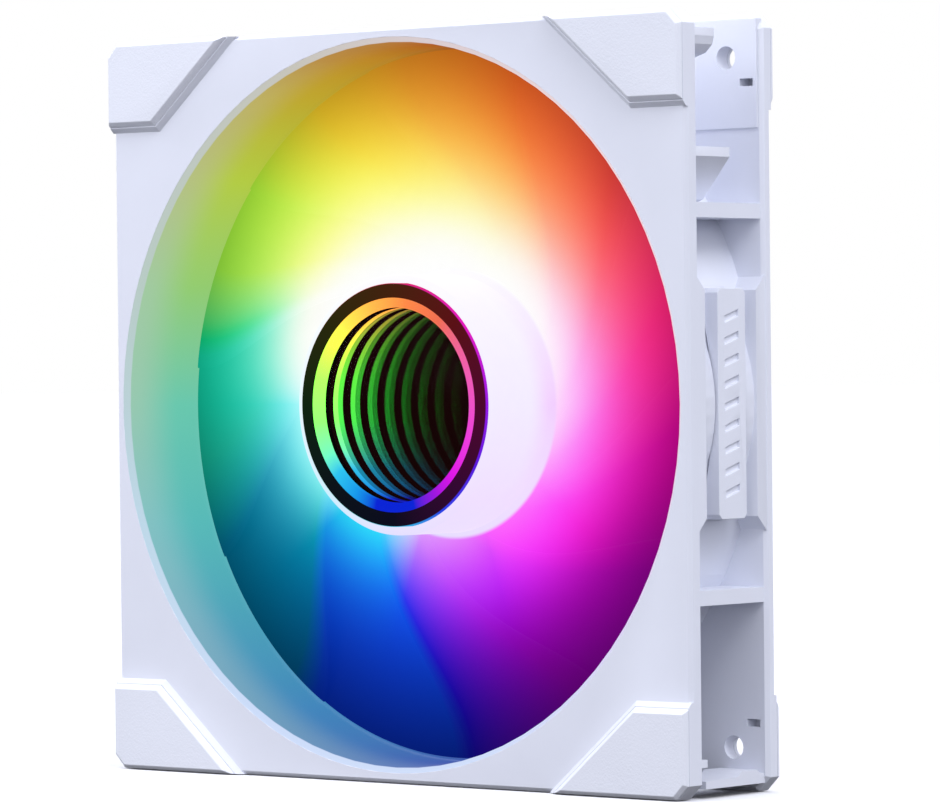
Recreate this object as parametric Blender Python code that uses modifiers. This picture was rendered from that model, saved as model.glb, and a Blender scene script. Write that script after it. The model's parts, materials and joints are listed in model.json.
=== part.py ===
"""140 mm case fan with an infinity-mirror hub: frame, rubber corners, motor and impeller.

The fan stands on its bottom edge. X runs to the right, Z up, and the air enters at -Y and
leaves at +Y. The origin is the centre of the whole fan, on the axis of the rotor.
Every size below is in millimetres and is scaled to metres where a mesh is made.
"Depth" is the distance behind the front face of the frame.
"""
import math

import bmesh
import bpy
from mathutils import Matrix, Vector

MM = 0.001

# Frame
HALF = 70.0                # half of the 140 mm side
FRAME_DEPTH = 25.0
FRONT_Y = -12.0            # where depth 0 lies, so that the pads are centred on the origin
FLANGE = 2.7               # thickness of the front and the rear flange
CORNER_CUT = 2.6           # chamfer on the four long corners
EDGE_CUT = 0.7             # chamfer round the flanges' outer edges
MOUTH_R, MOUTH_CUT = 68.2, 1.0
DUCT_R = 67.2
DUCT_OUTER_R = 68.2
LIP_R, LIP_FRONT = 66.2, 20.6  # low lip behind the blade tips
HOLE_SPACING, HOLE_R = 124.5, 2.15
RIB_FROM, RIB_TO = 33.1, 35.8
BAY_HALF = 20.3            # half length of the flush bay in the middle of a side
RAIL = 4.9                 # depth of the bay's thick rails
GAP = 0.3                  # clearance between pieces that touch
ROUND, LARGE_ROUND, SMALL_ROUND = 44, 80, 20   # facets of turned pieces by size

# Corner pads
PAD_END = 52.7             # where a pad's straight inner edge lies
PAD_FLAT = 12.4            # length of that edge
PAD_SLOPE = math.radians(40.6)
FRONT_BOSS, FRONT_PROUD = 0.9, 2.0
REAR_PROUD = 1.0
PARTING = 0.15             # open joint between a pad and its boss

# Rotor
HUB_R, HUB_FRONT, HUB_REAR = 24.2, 1.3, 20.0
HUB_WALL = 1.6
FILLET_R, FILLET_FRONT = 25.3, 18.2   # fillet where the blades meet the hub
BLADES = 11
BLADE_TIP_R = 66.6
BLADE_TURN = 2 * math.pi / BLADES
ROOT_THICK, TIP_THICK = 0.9, 0.5
EDGE_SHARE = 0.3           # the share of the thickness left at the edges
BLADE_REAR = 19.7          # depth of the trailing edges
LEAD_ROOT, LEAD_TIP = 18.5, 19.2     # depth of the leading edges
LEAD_RISE = 2.3            # how much further forward they stand half way along the blade
OVERLAP_ROOT, OVERLAP_TIP = math.radians(6.5), math.radians(1.0)
OVERLAP_RISE = math.radians(6.0)
BLADE_PHASE = math.radians(-88.0)
BLADE_SWEEP = math.radians(36.0)
SWEEP_SPAN = 35.0          # radial distance over which the sweep is stated
SHAFT_R = 1.5

# Infinity mirror
FACE = 0.85
RIM_R, WINDOW_R, TUNNEL_R = 22.6, 19.9, 18.1
MIRROR_R = 21.6
PANE_FRONT, PANE_BACK = 1.1, 1.3
MIRROR_FRONT, MIRROR_BACK = 3.75, 5.1

# Motor
BASE_R, BASE_REAR = 24.0, 24.6
TUBE_R, TUBE_BORE = 5.0, 3.7
TUBE_FRONT = 11.0
POLES = 4
STATOR_R = 16.3
LEDS = 8
LED_R = 20.7
STRUTS = 4

WHITE = (0.86, 0.87, 0.93)
BLACK = (0.015, 0.015, 0.018)


def clear_scene():
    for item in list(bpy.data.objects):
        bpy.data.objects.remove(item, do_unlink=True)


def new_collection(name):
    collection = bpy.data.collections.new(name)
    bpy.context.scene.collection.children.link(collection)
    return collection


clear_scene()
PARTS = new_collection("case_fan")
CUTTERS = new_collection("cutters")


def paint(name, colour, roughness=0.5, metallic=0.0):
    material = bpy.data.materials.new(name)
    material.use_nodes = True
    shader = material.node_tree.nodes["Principled BSDF"]
    shader.inputs["Base Color"].default_value = (*colour, 1.0)
    shader.inputs["Roughness"].default_value = roughness
    shader.inputs["Metallic"].default_value = metallic
    return material


def place(name, mesh, material=None):
    """Add an object: a part when it has a material, and a hidden cutter when it has none."""
    item = bpy.data.objects.new(name, mesh)
    if material:
        mesh.materials.append(material)
        PARTS.objects.link(item)
    else:
        CUTTERS.objects.link(item)
        item.hide_render = True
        item.display_type = "WIRE"
    return item


def point(x, depth, z):
    return Vector((x * MM, (FRONT_Y + depth) * MM, z * MM))


def finish_mesh(name, bm):
    bmesh.ops.recalc_face_normals(bm, faces=bm.faces)
    mesh = bpy.data.meshes.new(name)
    bm.to_mesh(mesh)
    bm.free()
    return mesh


def loft(bm, rings):
    """Extrude a closed outline through a list of rings that have the same number of points."""
    verts = [bm.verts.new(p) for p in rings[0]]
    face = bm.faces.new(verts)
    for index, ring_points in enumerate(rings[1:]):
        made = bmesh.ops.extrude_face_region(bm, geom=[face])["geom"]
        if index:
            bm.faces.remove(face)
        fresh = {item for item in made if isinstance(item, bmesh.types.BMVert)}
        face = next(item for item in made if isinstance(item, bmesh.types.BMFace))
        verts = [next(e.other_vert(v) for e in v.link_edges if e.other_vert(v) in fresh) for v in verts]
        for vert, target in zip(verts, ring_points):
            vert.co = target


def lofted(name, stacks, material=None, turns=(0,)):
    """Solids lofted along the depth. Each stack lists (depth, outline) and is copied per turn."""
    bm = bmesh.new()
    for stack in stacks:
        for quarter in turns:
            turn = Matrix.Rotation(math.radians(90.0 * quarter), 3, "Y")
            loft(bm, [[turn @ point(x, depth, z) for x, z in outline] for depth, outline in stack])
    return place(name, finish_mesh(name, bm), material)


def slab(x0, x1, depth0, depth1, z0, z1):
    """A box, written as a stack for lofted()."""
    outline = [(x0, z0), (x1, z0), (x1, z1), (x0, z1)]
    return [(depth0, outline), (depth1, outline)]


def turned(name, profile, material=None, steps=ROUND):
    """A profile of (radius, depth) turned about the fan's axis, rear end first on its outside."""
    mesh = bpy.data.meshes.new(name)
    count = len(profile)
    on_axis = profile[0][0] == 0.0
    edges = [(i, i + 1) for i in range(count - 1)] + ([] if on_axis else [(count - 1, 0)])
    mesh.from_pydata([(r * MM, 0.0, h * MM) for r, h in profile], edges, [])
    item = place(name, mesh, material)
    item.rotation_euler.x = -math.pi / 2
    item.location.y = FRONT_Y * MM
    screw = item.modifiers.new("turn", "SCREW")
    screw.steps = screw.render_steps = steps
    screw.use_merge_vertices = True
    screw.merge_threshold = 0.00001
    screw.use_smooth_shade = True
    return item


def ring(name, inner, outer, front, rear, material=None, steps=ROUND):
    profile = [(outer, rear), (outer, front), (inner, front), (inner, rear)]
    return turned(name, profile, material, steps)


def disc(name, radius, front, rear, material=None, steps=ROUND):
    profile = [(0.0, rear), (radius, rear), (radius, front), (0.0, front)]
    return turned(name, profile, material, steps)


def combine(item, other, operation):
    modifier = item.modifiers.new(other.name, "BOOLEAN")
    modifier.operation = operation
    modifier.solver = "EXACT"
    modifier.object = other


def arc(radius, start, end, count, centre=(0.0, 0.0)):
    """Points on an arc in the X-Z plane, angles in radians from +X towards +Z."""
    angles = [start + (end - start) * i / count for i in range(count + 1)]
    return [(centre[0] + radius * math.cos(a), centre[1] + radius * math.sin(a)) for a in angles]


def flat_plate(name, splines, front, rear, material):
    """A plate cut from flat outlines; a second outline inside the first is a hole."""
    curve = bpy.data.curves.new(name, "CURVE")
    curve.dimensions = "2D"
    curve.fill_mode = "BOTH"
    curve.extrude = (rear - front) / 2 * MM
    for outline in splines:
        spline = curve.splines.new("POLY")
        spline.points.add(len(outline) - 1)
        for spot, (x, z) in zip(spline.points, outline):
            spot.co = (x * MM, z * MM, 0.0, 1.0)
        spline.use_cyclic_u = True
    item = place(name, curve, material)
    item.rotation_euler.x = math.pi / 2
    item.location.y = (FRONT_Y + (front + rear) / 2) * MM
    weld = item.modifiers.new("close_caps", "WELD")
    weld.merge_threshold = 0.00001
    return item


def square(half, cut):
    """A square with cut corners."""
    side = half - cut
    return [(half, -side), (half, side), (side, half), (-side, half),
            (-half, side), (-half, -side), (-side, -half), (side, -half)]


def pad_outline(inset, edge, right, top):
    """One corner pad: inset moves the two inner edges, edge moves the outer ones."""
    corner_z = PAD_END + inset
    corner_x = HALF - PAD_FLAT + inset * math.tan(PAD_SLOPE / 2)
    outer = HALF - edge
    top_x = corner_x - (outer - corner_z) / math.tan(PAD_SLOPE)
    cut = CORNER_CUT - edge * (2 - math.sqrt(2))
    outline = [(corner_x, corner_z), (outer, corner_z), (outer, outer - cut),
               (outer - cut, outer), (top_x, outer)]
    return [(x * right, z * top) for x, z in outline]


def pad_stack(depths, right, top):
    """Rings of a pad as (depth, inner inset, outer inset)."""
    return [(depth, pad_outline(inset, edge, right, top)) for depth, inset, edge in depths]


CORNERS = {"upper_left": (-1, 1), "upper_right": (1, 1), "lower_left": (-1, -1), "lower_right": (1, -1)}


def corner_bosses():
    """Raised bosses of the frame under the pads, front and rear, and the thicker inner corners."""
    stacks = []
    for right, top in CORNERS.values():
        stacks.append(pad_stack([(1.0, 0.0, 0.0), (0.0, 0.0, 0.0), (-FRONT_BOSS, FRONT_BOSS, 0.0)],
                                right, top))
        stacks.append(pad_stack([(FRAME_DEPTH - 1.2, 0.0, 0.0), (FRAME_DEPTH, 0.0, 0.0)], right, top))
    return lofted("corner_bosses", stacks)


def side_features():
    """Rails, duct bump, ribs and wiring hooks of one side, repeated on the four sides."""
    rail_run = FLANGE - 0.3
    slope = RAIL - rail_run
    back = FRAME_DEPTH

    def rail(half):
        return [(56.0, -half), (HALF, -half), (HALF, half), (56.0, half)]

    front_rail = [(rail_run, rail(BAY_HALF + slope)), (RAIL, rail(BAY_HALF))]
    rear_rail = [(back - RAIL - 0.2, rail(BAY_HALF)), (back - rail_run, rail(BAY_HALF + slope + 0.2))]
    stacks = [front_rail, rear_rail]
    for sign in (-1, 1):
        z0, z1 = sorted((sign * RIB_FROM, sign * RIB_TO))
        stacks.append(slab(54.0, HALF - 0.6, rail_run, back - rail_run, z0, z1))
    return lofted("side_features", stacks, turns=(0, 1, 2, 3))


def brackets():
    """A bracket above one rib of each side, with a slanted underside that runs down to the rib."""
    outline = [(48.0, 45.7), (HALF - 0.8, 45.7), (HALF - 0.8, 44.0), (63.2, 36.6),
               (60.0, RIB_TO - 0.4), (54.0, RIB_TO - 0.4), (48.0, 40.0)]
    return lofted("brackets", [[(FLANGE - 0.3, outline), (13.6, outline)]], turns=(0, 1, 2, 3))


def duct_bumps():
    """Where the duct comes closest to a side it swells into a low rounded pad."""
    crest, radius, reach = 69.5, 30.0, 24.0
    swell = arc(radius, math.radians(-reach), math.radians(reach), 16, (crest - radius, 0.0))
    outline = [(56.0, swell[0][1])] + swell + [(56.0, swell[-1][1])]
    stack = [(RAIL - 0.4, outline), (FRAME_DEPTH - RAIL + 0.2, outline)]
    return lofted("duct_bumps", [stack], turns=(0, 1, 2, 3))


def corner_extras():
    """Rounded hook and step plates at the upper corners, and a post at the lower right."""
    hook = [(58.0, 66.8), (69.0, 66.8), (69.0, 65.4), (68.6, 63.9), (67.1, 62.5), (64.5, 61.7),
            (58.0, 61.3)]
    stacks = [[(FLANGE - 0.3, hook), (9.6, hook)],
              slab(65.5, 68.6, FLANGE - 0.3, 6.2, -64.6, -63.2)]
    near, far = 49.5, HALF - 0.9
    for x0, x1 in ((-far, -near), (near, far)):
        stacks.append(slab(x0, x1, FRAME_DEPTH - FLANGE - 0.4, FRAME_DEPTH - 1.5, near, far))
    return lofted("corner_extras", stacks)


def cable_tongue():
    """Wavy spring tongue that keeps the lead in the lower right corner."""
    low, rear = -68.4, FRAME_DEPTH - FLANGE + 0.3
    wave = [(5.2, low), (5.2, -67.0), (14.0, -66.9), (14.9, -66.5), (15.7, -65.9), (20.3, -65.9),
            (21.0, -66.5), (rear, -66.6), (rear, low)]
    bm = bmesh.new()
    loft(bm, [[point(x, depth, z) for depth, z in wave] for x in (60.5, 69.0)])
    return place("cable_tongue", finish_mesh("cable_tongue", bm))


def struts():
    """Rear struts from the motor base to the duct wall, leaning against the blades' sweep."""
    front, rear, wide, narrow = 21.3, 24.6, 2.3, 1.3
    inner, outer = 22.8, DUCT_OUTER_R - 0.3
    lean = 9.0
    bm = bmesh.new()
    for index in range(STRUTS):
        turn = Matrix.Rotation(math.radians(45.0 + 360.0 / STRUTS * index), 3, "Y")
        rings = []
        for radius, shift in ((inner, lean), (outer, -lean)):
            reach = math.sqrt(radius ** 2 - (abs(shift) + wide) ** 2)
            section = [(-narrow, front), (narrow, front), (wide, front + 1.4), (wide, rear),
                       (-wide, rear), (-wide, front + 1.4)]
            rings.append([turn @ point(reach, depth, shift + across) for across, depth in section])
        loft(bm, rings)
    return place("struts", finish_mesh("struts", bm))


def motor_base():
    """Rear plate under the motor with the tube that holds the bearing."""
    floor, seat, label_recess = 21.4, 20.7, 24.1
    profile = [(0.0, label_recess), (19.8, label_recess), (19.8, BASE_REAR), (BASE_R - 0.8, BASE_REAR),
               (BASE_R, BASE_REAR - 0.8), (BASE_R, seat), (BASE_R - 1.2, seat), (BASE_R - 1.2, floor),
               (7.0, floor), (7.0, seat), (TUBE_R, seat), (TUBE_R, TUBE_FRONT),
               (TUBE_BORE, TUBE_FRONT), (TUBE_BORE, 23.2), (0.0, 23.2)]
    return turned("motor_base", profile)


def opening_cutter():
    """The bore of the duct: a chamfered mouth, the lip behind the blades and a rear chamfer."""
    back = FRAME_DEPTH
    profile = [(0.0, back + 2.0), (LIP_R + 2.5, back + 2.0), (LIP_R, back - 0.5),
               (LIP_R, LIP_FRONT + 0.6), (DUCT_R, LIP_FRONT), (DUCT_R, MOUTH_CUT), (MOUTH_R, 0.0),
               (MOUTH_R + 1.0, -1.0), (MOUTH_R + 1.0, -4.0), (0.0, -4.0)]
    return turned("duct_bore", profile, steps=LARGE_ROUND)


def hole_cutters():
    """Screw holes through both flanges, and the small latch slots beside them."""
    reach = HOLE_SPACING / 2
    stacks = []
    for right, top in CORNERS.values():
        circle = arc(HOLE_R, 0.0, 2 * math.pi * 15 / 16, 15, (right * reach, top * reach))
        stacks.append([(-4.0, circle), (FRAME_DEPTH + 4.0, circle)])
    screw_holes = lofted("screw_holes", stacks)
    slot = [slab(65.3, 68.3, 19.0, FRAME_DEPTH + 4.0, sign * 57.7 - 0.7, sign * 57.7 + 0.7)
            for sign in (-1, 1)]
    return screw_holes, lofted("latch_slots", slot, turns=(0, 2))


BADGE_FRONT, BADGE_REAR = 8.6, 16.7


def badge_cutter():
    """The slots in the duct bumps of the left and right sides that take the badge bars."""
    reach = math.radians(18.0)
    outline = arc(DUCT_OUTER_R - 0.05, reach, -reach, 16) + [(HALF + 2.0, -21.0), (HALF + 2.0, 21.0)]
    slot = [(depth, outline) for depth in (BADGE_FRONT - GAP, BADGE_REAR + GAP)]
    return lofted("badge_slots", [slot], turns=(0, 2))


def make_frame(white):
    profile = [(DUCT_OUTER_R, FRAME_DEPTH - 1.0), (DUCT_OUTER_R, 1.0), (DUCT_R - 4.0, 1.0),
               (DUCT_R - 4.0, FRAME_DEPTH - 1.0)]
    frame = turned("frame", profile, white, steps=LARGE_ROUND)
    full, cut = square(HALF, CORNER_CUT), square(HALF - EDGE_CUT, CORNER_CUT - EDGE_CUT * 0.586)
    back = FRAME_DEPTH
    front_flange = lofted("front_flange", [[(0.0, cut), (EDGE_CUT, full), (FLANGE, full)]])
    rear_flange = lofted("rear_flange", [[(back - FLANGE, cut), (back - FLANGE + EDGE_CUT, full),
                                          (back - EDGE_CUT, full), (back, cut)]])
    for piece in (front_flange, rear_flange, corner_bosses(), corner_extras(), side_features(),
                  brackets(), duct_bumps(), cable_tongue()):
        combine(frame, piece, "UNION")
    combine(frame, opening_cutter(), "DIFFERENCE")
    combine(frame, badge_cutter(), "DIFFERENCE")
    for piece in (motor_base(), struts()):
        combine(frame, piece, "UNION")
    for cutter in hole_cutters():
        combine(frame, cutter, "DIFFERENCE")


def make_pads(rubber):
    """Soft corner pads, solid at the front and with a screw hole at the rear."""
    setback = 1.25             # a rear pad starts nearer to its corner than a front one
    for corner, (right, top) in CORNERS.items():
        base = FRONT_BOSS + PARTING
        edge_start = FRONT_PROUD - EDGE_CUT
        lofted(f"front_pad_{corner}",
               [pad_stack([(-base, base, 0.0), (-edge_start, edge_start, 0.0),
                           (-FRONT_PROUD, FRONT_PROUD, EDGE_CUT)], right, top)], rubber)
        rear_edge = 0.4
        rear = lofted(f"rear_pad_{corner}",
                      [pad_stack([(FRAME_DEPTH + PARTING, setback, 0.0),
                                  (FRAME_DEPTH + REAR_PROUD - rear_edge, setback + 0.8, 0.0),
                                  (FRAME_DEPTH + REAR_PROUD, setback + 1.2, rear_edge)], right, top)],
                      rubber)
        combine(rear, bpy.data.objects["screw_holes"], "DIFFERENCE")


def make_badges(white):
    """Bars that fill the side slots, with a plain row of slanted ticks sunk in their faces."""
    clear_r = DUCT_OUTER_R + GAP
    half, notch, ticks, pitch = BAY_HALF + 0.3, 0.8, 9, 3.9
    front, rear = BADGE_FRONT, BADGE_REAR
    face = [(front, half - notch), (front + notch, half), (rear - notch, half), (rear, half - notch),
            (rear, notch - half), (rear - notch, -half), (front + notch, -half), (front, notch - half)]
    for name, turn in (("side_badge_right", 1), ("side_badge_left", -1)):
        bm = bmesh.new()
        loft(bm, [[point(x * turn, depth, z) for depth, z in face] for x in (60.0, HALF)])
        badge = place(name, finish_mesh(name, bm), white)
        core = disc(f"{name}_back", clear_r, 0.0, FRAME_DEPTH, steps=LARGE_ROUND)
        combine(badge, core, "DIFFERENCE")
        rows = []
        for index in range(ticks):
            z = (index - (ticks - 1) / 2) * pitch
            near = [(x * turn, height) for x, height in (
                (HALF - 0.5, z - 1.2), (HALF + 1.0, z - 1.2), (HALF + 1.0, z), (HALF - 0.5, z))]
            far = [(x, height + 1.2) for x, height in near]
            rows.append([(front + 2.0, near), (rear - 2.0, far)])
        combine(badge, lofted(f"{name}_ticks", rows), "DIFFERENCE")


def blade_angle(radius):
    """Angle of a blade's leading edge: it sweeps forward towards the tip."""
    return BLADE_PHASE - BLADE_SWEEP * ((BLADE_TIP_R - radius) / SWEEP_SPAN) ** 2


def blade_point(index, part, chord, side):
    """On a blade's skin: part runs from root to tip, chord from leading to trailing edge."""
    root = HUB_R - 1.0
    radius = root + (BLADE_TIP_R - root) * part
    middle = math.sin(math.pi * part)
    lead = LEAD_ROOT + (LEAD_TIP - LEAD_ROOT) * part - LEAD_RISE * middle
    overlap = OVERLAP_ROOT + (OVERLAP_TIP - OVERLAP_ROOT) * part + OVERLAP_RISE * middle
    angle = blade_angle(radius) + BLADE_TURN * index - (BLADE_TURN + overlap) * chord
    full = math.sqrt(max(0.0, 1.0 - abs(2.0 * chord - 1.0) ** 10))
    depth = lead + (BLADE_REAR - lead) * math.sin(chord * math.pi / 2) ** 0.9
    thick = ROOT_THICK + (TIP_THICK - ROOT_THICK) * part
    depth += side * thick / 2 * (EDGE_SHARE + (1.0 - EDGE_SHARE) * full)
    return point(radius * math.cos(angle), depth, radius * math.sin(angle))


def add_blade(bm, index):
    """One blade as a closed shell: a front and a rear skin joined round their border."""
    across, along = 8, 6
    chords = [0.5 - 0.5 * math.cos(math.pi * j / along) for j in range(along + 1)]
    front, rear = [[[bm.verts.new(blade_point(index, i / across, chord, side)) for chord in chords]
                    for i in range(across + 1)] for side in (-1, 1)]
    for skin in (front, rear):
        for low, high in zip(skin, skin[1:]):
            for j in range(along):
                bm.faces.new((low[j], low[j + 1], high[j + 1], high[j]))
    for i in range(across):
        for j in (0, along):
            bm.faces.new((front[i][j], front[i + 1][j], rear[i + 1][j], rear[i][j]))
    for j in range(along):
        for i in (0, across):
            bm.faces.new((front[i][j], front[i][j + 1], rear[i][j + 1], rear[i][j]))


def make_impeller(milky):
    """Hub cup and blades, one moulding."""
    inner = HUB_R - HUB_WALL
    rim_inner = RIM_R + 0.2
    profile = [(0.0, 7.6), (inner, 7.6), (inner, HUB_REAR), (FILLET_R, HUB_REAR),
               (FILLET_R, FILLET_FRONT + 0.2), (FILLET_R - 0.4, FILLET_FRONT - 0.3),
               (HUB_R, FILLET_FRONT - 1.4), (HUB_R, HUB_FRONT + 1.0),
               (HUB_R - 0.3, HUB_FRONT + 0.35), (HUB_R - 0.8, HUB_FRONT),
               (rim_inner, HUB_FRONT), (rim_inner, 5.4), (0.0, 5.4)]
    impeller = turned("impeller", profile, milky, steps=BLADES * 5)
    bm = bmesh.new()
    for index in range(BLADES):
        add_blade(bm, index)
    combine(impeller, place("blades", finish_mesh("blades", bm)), "UNION")


def make_mirror_hub(black, pane, light, mirror):
    """Infinity mirror: half-silvered pane, glowing ring, dark spacer and rear mirror."""
    lip = PANE_FRONT - 0.05
    sleeve = 21.8
    turned("hub_trim_ring", [(RIM_R, MIRROR_BACK), (RIM_R, FACE + 0.2), (RIM_R - 0.2, FACE),
                             (WINDOW_R, FACE), (WINDOW_R, lip), (sleeve, lip),
                             (sleeve, MIRROR_BACK)], black)
    disc("half_mirror_pane", MIRROR_R, PANE_FRONT, PANE_BACK, pane)
    glow_front, glow_back = PANE_BACK + 0.05, 2.75
    ring("light_ring", TUNNEL_R, MIRROR_R, glow_front, glow_back, light)
    ring("mirror_spacer", TUNNEL_R, MIRROR_R, glow_back + 0.1, MIRROR_FRONT - 0.1, black)
    disc("rear_mirror", MIRROR_R, MIRROR_FRONT, MIRROR_BACK, mirror)


def make_rotor_core(steel, magnet, brass):
    wall_in, wall_out, hole = 18.9, 19.7, 3.4
    turned("rotor_yoke", [(wall_out, 18.2), (wall_out, 7.9), (hole, 7.9), (hole, 8.7),
                          (wall_in, 8.7), (wall_in, 18.2)], steel)
    ring("magnet_ring", 16.9, 18.6, 9.6, 18.0, magnet)
    ring("shaft_bush", SHAFT_R + GAP, 3.1, 7.9, 10.2, brass, steps=SMALL_ROUND)
    clip_groove = 21.6
    turned("shaft", [(0.0, 22.6), (SHAFT_R - 0.3, 22.6), (SHAFT_R, 22.2), (SHAFT_R, clip_groove + 0.3),
                     (SHAFT_R - 0.35, clip_groove + 0.3), (SHAFT_R - 0.35, clip_groove - 0.3),
                     (SHAFT_R, clip_groove - 0.3), (SHAFT_R, 7.9), (0.0, 7.9)], steel, steps=SMALL_ROUND)


def make_bearing(bronze, nylon, steel):
    fit_r = TUBE_BORE - 0.1
    ring("oil_seal", SHAFT_R + 0.25, fit_r, 11.1, 11.5, nylon, steps=SMALL_ROUND)
    ring("bearing_sleeve", SHAFT_R + 0.07, fit_r, 11.8, 20.9, bronze, steps=SMALL_ROUND)
    ring("retaining_clip", SHAFT_R - 0.2, fit_r, 21.5, 21.7, steel, steps=SMALL_ROUND)
    disc("thrust_plate", fit_r, 22.7, 23.1, nylon, steps=SMALL_ROUND)


def stator_outline(tooth, yoke_r, shoe_r, tip_r):
    """Four T-shaped poles round a small core."""
    outline = []
    for pole in range(POLES):
        centre = 2 * math.pi / POLES * pole
        span = math.radians(37.0)
        root, neck = math.asin(tooth / yoke_r), math.asin(tooth / shoe_r)
        outline += arc(yoke_r, centre - math.pi / POLES, centre - root, 2)
        outline += arc(shoe_r, centre - neck, centre - span, 3)
        outline += arc(tip_r, centre - span, centre + span, 8)
        outline += arc(shoe_r, centre + span, centre + neck, 3)
        outline += arc(yoke_r, centre + root, centre + math.pi / POLES, 2)[:-1]
    return outline


def make_stator(steel, nylon, copper):
    hole = arc(TUBE_R + GAP + 0.1, 0.0, 2 * math.pi * 19 / 20, 19)
    lamination = stator_outline(2.0, 7.8, 13.6, STATOR_R)
    insulator = stator_outline(2.3, 7.9, 13.4, STATOR_R - 0.3)
    flat_plate("stator_core", [lamination, hole], 13.0, 16.2, steel)
    flat_plate("insulator_front", [insulator, hole], 12.0, 12.7, nylon)
    flat_plate("insulator_rear", [insulator, hole], 16.5, 17.2, nylon)
    for pole in range(POLES):
        name = f"stator_coil_{pole + 1}"
        bm = bmesh.new()
        bmesh.ops.create_cube(bm, size=1.0)
        bmesh.ops.scale(bm, verts=bm.verts, vec=Vector((4.0, 8.0, 9.0)) * MM)
        corners = [e for e in bm.edges if abs((e.verts[0].co - e.verts[1].co).x) > 0.0035]
        bmesh.ops.bevel(bm, geom=corners, offset=1.4 * MM, segments=3, affect="EDGES", profile=0.5)
        bmesh.ops.translate(bm, verts=bm.verts, vec=point(10.2, 14.6, 0.0))
        turn = Matrix.Rotation(math.radians(90.0 * pole), 4, "Y")
        bmesh.ops.transform(bm, verts=bm.verts, matrix=turn)
        coil = place(name, finish_mesh(name, bm), copper)
        combine(coil, lofted(f"{name}_window", [slab(7.0, 14.0, 11.7, 17.5, -2.7, 2.7)],
                             turns=(pole,)), "DIFFERENCE")


def small_box(name, radius, angle, size, front, rear, material):
    """A chip or lamp on the board, square to its radius."""
    radial, tangential = size[0] / 2, size[1] / 2
    turn = Matrix.Rotation(-angle, 3, "Y")
    outline = [(radius - radial, -tangential), (radius + radial, -tangential),
               (radius + radial, tangential), (radius - radial, tangential)]
    bm = bmesh.new()
    loft(bm, [[turn @ point(x, depth, z) for x, z in outline] for depth in (front, rear)])
    return place(name, finish_mesh(name, bm), material)


def make_electronics(board, black, lamp, nylon, label):
    ring("motor_board", 7.3, 21.8, 19.3, 20.3, board)
    seat = 19.3 - 0.1
    small_box("driver_chip", 10.9, math.radians(45), (3.0, 3.0), seat - 0.4, seat, black)
    small_box("hall_sensor", 15.6, math.radians(135), (1.6, 2.4), seat - 0.5, seat, black)
    for index in range(LEDS):
        angle = 2 * math.pi * (index + 0.5) / LEDS
        small_box(f"led_{index + 1}", LED_R, angle, (1.7, 1.7), seat - 0.6, seat, lamp)
    small_box("lead_header", 13.5, math.radians(-45), (2.2, 5.2), 20.4, 21.2, nylon)
    disc("rear_label", 19.5, 24.2, 24.5, label)


make_frame(paint("frame_white", WHITE, 0.42))
make_pads(paint("pad_rubber", (0.82, 0.84, 0.92), 0.7))
make_badges(paint("badge_white", WHITE, 0.4))
make_impeller(paint("milky_plastic", (0.9, 0.9, 0.95), 0.3))
make_mirror_hub(paint("trim_black", BLACK, 0.2), paint("half_mirror", (0.05, 0.05, 0.06), 0.02, 0.6),
                paint("light_ring_milky", (0.9, 0.95, 0.9), 0.4), paint("mirror", (0.8, 0.8, 0.8), 0.02, 1.0))
make_rotor_core(paint("steel", (0.55, 0.56, 0.58), 0.3, 1.0), paint("ferrite", (0.06, 0.06, 0.065), 0.6),
                paint("brass", (0.75, 0.58, 0.25), 0.3, 1.0))
make_bearing(paint("bronze", (0.6, 0.42, 0.22), 0.35, 1.0), paint("nylon", (0.85, 0.83, 0.76), 0.5),
             paint("spring_steel", (0.5, 0.5, 0.52), 0.3, 1.0))
make_stator(paint("lamination", (0.35, 0.36, 0.38), 0.45, 0.9), paint("insulator", (0.8, 0.78, 0.7), 0.5),
            paint("copper", (0.72, 0.33, 0.16), 0.35, 1.0))
make_electronics(paint("board_white", (0.75, 0.78, 0.76), 0.4), paint("chip", (0.03, 0.03, 0.03), 0.4),
                 paint("led", (0.95, 0.9, 0.7), 0.3), paint("header", (0.8, 0.8, 0.78), 0.5),
                 paint("label", (0.6, 0.62, 0.66), 0.35))
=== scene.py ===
"""Looks of the 140 mm case fan: an infinity-mirror hub, glowing blades and a white frame.

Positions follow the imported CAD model: X runs to the right, Z up, and air enters at -Y. Sizes
below are in millimetres, and "depth" is the distance behind the front face of the frame.
"""
import json
import math

import bmesh
import bpy
from mathutils import Matrix, Vector


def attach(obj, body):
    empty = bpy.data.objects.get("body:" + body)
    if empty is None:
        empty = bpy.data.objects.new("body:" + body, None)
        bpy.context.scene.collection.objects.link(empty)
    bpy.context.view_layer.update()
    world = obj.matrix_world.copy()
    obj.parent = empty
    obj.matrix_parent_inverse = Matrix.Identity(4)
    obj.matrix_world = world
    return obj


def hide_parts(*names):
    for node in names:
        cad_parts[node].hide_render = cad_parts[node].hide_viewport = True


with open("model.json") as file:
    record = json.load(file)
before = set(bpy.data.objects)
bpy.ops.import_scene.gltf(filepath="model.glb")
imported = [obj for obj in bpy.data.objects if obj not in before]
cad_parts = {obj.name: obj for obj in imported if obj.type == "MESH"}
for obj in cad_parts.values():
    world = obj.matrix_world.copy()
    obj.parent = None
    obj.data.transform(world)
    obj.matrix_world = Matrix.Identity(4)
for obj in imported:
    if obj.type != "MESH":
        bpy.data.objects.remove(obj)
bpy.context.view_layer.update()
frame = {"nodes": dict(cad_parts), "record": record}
nodes = frame["nodes"]

MM = 0.001
FRONT_Y = -12.0            # where depth 0 lies

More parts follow.
